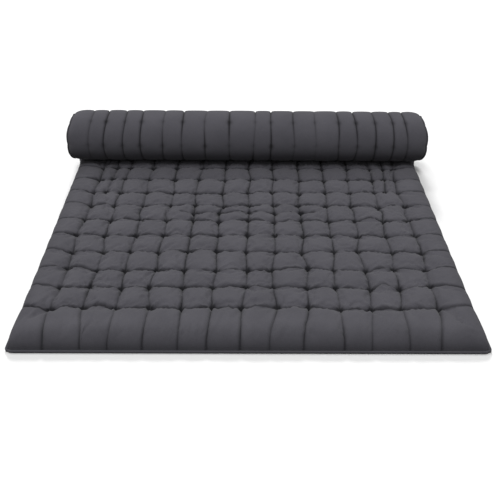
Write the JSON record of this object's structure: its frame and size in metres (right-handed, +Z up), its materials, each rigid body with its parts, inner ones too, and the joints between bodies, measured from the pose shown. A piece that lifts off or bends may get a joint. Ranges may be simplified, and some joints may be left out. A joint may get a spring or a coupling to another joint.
{
  "type": "futon mattress",
  "caption": "Thin hand-tufted cotton futon mattress, lying flat with its far end rolled up on itself, and able to unroll flat.",
  "frame": {"origin": "on the floor, under the middle of the outline at rest", "axes": "+X across the mattress's width, +Y from the flat front edge towards the roll, +Z up"},
  "size_m": [1.4, 1.258, 0.2382],
  "materials": {
    "cover_cloth": "plain-weave cotton, matt",
    "seam_cloth": "folded and sewn cotton, matt",
    "tufting_thread": "twisted cotton thread, waxed",
    "cotton_batting": "loose carded cotton, matt"
  },
  "bodies": {
    "flat_part": {"batting": "cotton_batting", "bottom_cover": "cover_cloth", "edge_seam": "seam_cloth", "top_cover": "cover_cloth", "tuft_row_01": "tufting_thread", "tuft_row_02": "tufting_thread", "tuft_row_03": "tufting_thread", "tuft_row_04": "tufting_thread", "tuft_row_05": "tufting_thread", "tuft_row_06": "tufting_thread", "tuft_row_07": "tufting_thread", "tuft_row_08": "tufting_thread", "tuft_row_09": "tufting_thread", "tuft_row_10": "tufting_thread", "tuft_row_short": "tufting_thread"},
    "roll_part_01": {"roll_cover_01": "cover_cloth", "roll_batting_01": "cotton_batting", "tuft_row_11": "tufting_thread"},
    "roll_part_02": {"roll_cover_02": "cover_cloth", "roll_batting_02": "cotton_batting"},
    "roll_part_03": {"roll_cover_03": "cover_cloth", "roll_batting_03": "cotton_batting", "tuft_row_12": "tufting_thread"},
    "roll_part_04": {"roll_cover_04": "cover_cloth", "roll_batting_04": "cotton_batting"},
    "roll_part_05": {"roll_cover_05": "cover_cloth", "roll_batting_05": "cotton_batting", "tuft_row_13": "tufting_thread"},
    "roll_part_06": {"roll_cover_06": "cover_cloth", "roll_batting_06": "cotton_batting"},
    "roll_part_07": {"roll_cover_07": "cover_cloth", "roll_batting_07": "cotton_batting", "tuft_row_14": "tufting_thread"},
    "roll_part_08": {"roll_cover_08": "cover_cloth", "roll_batting_08": "cotton_batting"},
    "roll_part_09": {"roll_cover_09": "cover_cloth", "roll_batting_09": "cotton_batting", "tuft_row_15": "tufting_thread"},
    "roll_part_10": {"roll_cover_10": "cover_cloth", "roll_batting_10": "cotton_batting"},
    "roll_part_11": {"roll_cover_11": "cover_cloth", "roll_batting_11": "cotton_batting", "tuft_row_16": "tufting_thread"},
    "roll_part_12": {"roll_cover_12": "cover_cloth", "roll_batting_12": "cotton_batting"},
    "roll_part_13": {"roll_cover_13": "cover_cloth", "roll_batting_13": "cotton_batting", "tuft_row_17": "tufting_thread"},
    "roll_part_14": {"roll_cover_14": "cover_cloth", "roll_batting_14": "cotton_batting"},
    "roll_part_15": {"roll_cover_15": "cover_cloth", "roll_batting_15": "cotton_batting", "tuft_row_18": "tufting_thread"},
    "roll_part_16": {"roll_cover_16": "cover_cloth", "roll_batting_16": "cotton_batting"},
    "roll_part_17": {"roll_cover_17": "cover_cloth", "roll_batting_17": "cotton_batting", "end_seam": "seam_cloth"}
  },
  "joints": [
    {"name": "unroll", "type": "hinge", "parent": "flat_part", "child": "roll_part_01", "pos_m": [0, 0.50098, 0], "axis": [-1, 0, 0], "range_deg": [0, 10.89]},
    {"name": "bend_02", "type": "hinge", "parent": "roll_part_01", "child": "roll_part_02", "pos_m": [0, 0.54978, 0.00939], "axis": [-1, 0, 0], "range_deg": [0, 22.13]},
    {"name": "bend_03", "type": "hinge", "parent": "roll_part_02", "child": "roll_part_03", "pos_m": [0, 0.59144, 0.03646], "axis": [-1, 0, 0], "range_deg": [0, 22.66]},
    {"name": "bend_04", "type": "hinge", "parent": "roll_part_03", "child": "roll_part_04", "pos_m": [0, 0.61946, 0.07747], "axis": [-1, 0, 0], "range_deg": [0, 23.24]},
    {"name": "bend_05", "type": "hinge", "parent": "roll_part_04", "child": "roll_part_05", "pos_m": [0, 0.62902, 0.12619], "axis": [-1, 0, 0], "range_deg": [0, 23.86]},
    {"name": "bend_06", "type": "hinge", "parent": "roll_part_05", "child": "roll_part_06", "pos_m": [0, 0.61807, 0.1746], "axis": [-1, 0, 0], "range_deg": [0, 24.53]},
    {"name": "bend_07", "type": "hinge", "parent": "roll_part_06", "child": "roll_part_07", "pos_m": [0, 0.58803, 0.21408], "axis": [-1, 0, 0], "range_deg": [0, 25.26]},
    {"name": "bend_08", "type": "hinge", "parent": "roll_part_07", "child": "roll_part_08", "pos_m": [0, 0.54405, 0.23696], "axis": [-1, 0, 0], "range_deg": [0, 26.06]},
    {"name": "bend_09", "type": "hinge", "parent": "roll_part_08", "child": "roll_part_09", "pos_m": [0, 0.4945, 0.2382], "axis": [-1, 0, 0], "range_deg": [0, 26.95]},
    {"name": "bend_10", "type": "hinge", "parent": "roll_part_09", "child": "roll_part_10", "pos_m": [0, 0.44981, 0.21687], "axis": [-1, 0, 0], "range_deg": [0, 27.93]},
    {"name": "bend_11", "type": "hinge", "parent": "roll_part_10", "child": "roll_part_11", "pos_m": [0, 0.42032, 0.17713], "axis": [-1, 0, 0], "range_deg": [0, 29.03]},
    {"name": "bend_12", "type": "hinge", "parent": "roll_part_11", "child": "roll_part_12", "pos_m": [0, 0.41382, 0.12811], "axis": [-1, 0, 0], "range_deg": [0, 30.26]},
    {"name": "bend_13", "type": "hinge", "parent": "roll_part_12", "child": "roll_part_13", "pos_m": [0, 0.43288, 0.08254], "axis": [-1, 0, 0], "range_deg": [0, 31.67]},
    {"name": "bend_14", "type": "hinge", "parent": "roll_part_13", "child": "roll_part_14", "pos_m": [0, 0.47297, 0.05379], "axis": [-1, 0, 0], "range_deg": [0, 33.3]},
    {"name": "bend_15", "type": "hinge", "parent": "roll_part_14", "child": "roll_part_15", "pos_m": [0, 0.52219, 0.05177], "axis": [-1, 0, 0], "range_deg": [0, 35.21]},
    {"name": "bend_16", "type": "hinge", "parent": "roll_part_15", "child": "roll_part_16", "pos_m": [0, 0.5635, 0.07844], "axis": [-1, 0, 0], "range_deg": [0, 37.49]},
    {"name": "bend_17", "type": "hinge", "parent": "roll_part_16", "child": "roll_part_17", "pos_m": [0, 0.58002, 0.12462], "axis": [-1, 0, 0], "range_deg": [0, 51.04]}
  ],
  "couplings": [
    {"joint": "bend_02", "follows": "unroll", "ratio": 2.031},
    {"joint": "bend_03", "follows": "unroll", "ratio": 2.0799},
    {"joint": "bend_04", "follows": "unroll", "ratio": 2.1326},
    {"joint": "bend_05", "follows": "unroll", "ratio": 2.1895},
    {"joint": "bend_06", "follows": "unroll", "ratio": 2.2512},
    {"joint": "bend_07", "follows": "unroll", "ratio": 2.3184},
    {"joint": "bend_08", "follows": "unroll", "ratio": 2.3921},
    {"joint": "bend_09", "follows": "unroll", "ratio": 2.4733},
    {"joint": "bend_10", "follows": "unroll", "ratio": 2.5633},
    {"joint": "bend_11", "follows": "unroll", "ratio": 2.6639},
    {"joint": "bend_12", "follows": "unroll", "ratio": 2.7774},
    {"joint": "bend_13", "follows": "unroll", "ratio": 2.9069},
    {"joint": "bend_14", "follows": "unroll", "ratio": 3.0563},
    {"joint": "bend_15", "follows": "unroll", "ratio": 3.2315},
    {"joint": "bend_16", "follows": "unroll", "ratio": 3.4408},
    {"joint": "bend_17", "follows": "unroll", "ratio": 4.6853}
  ]
}
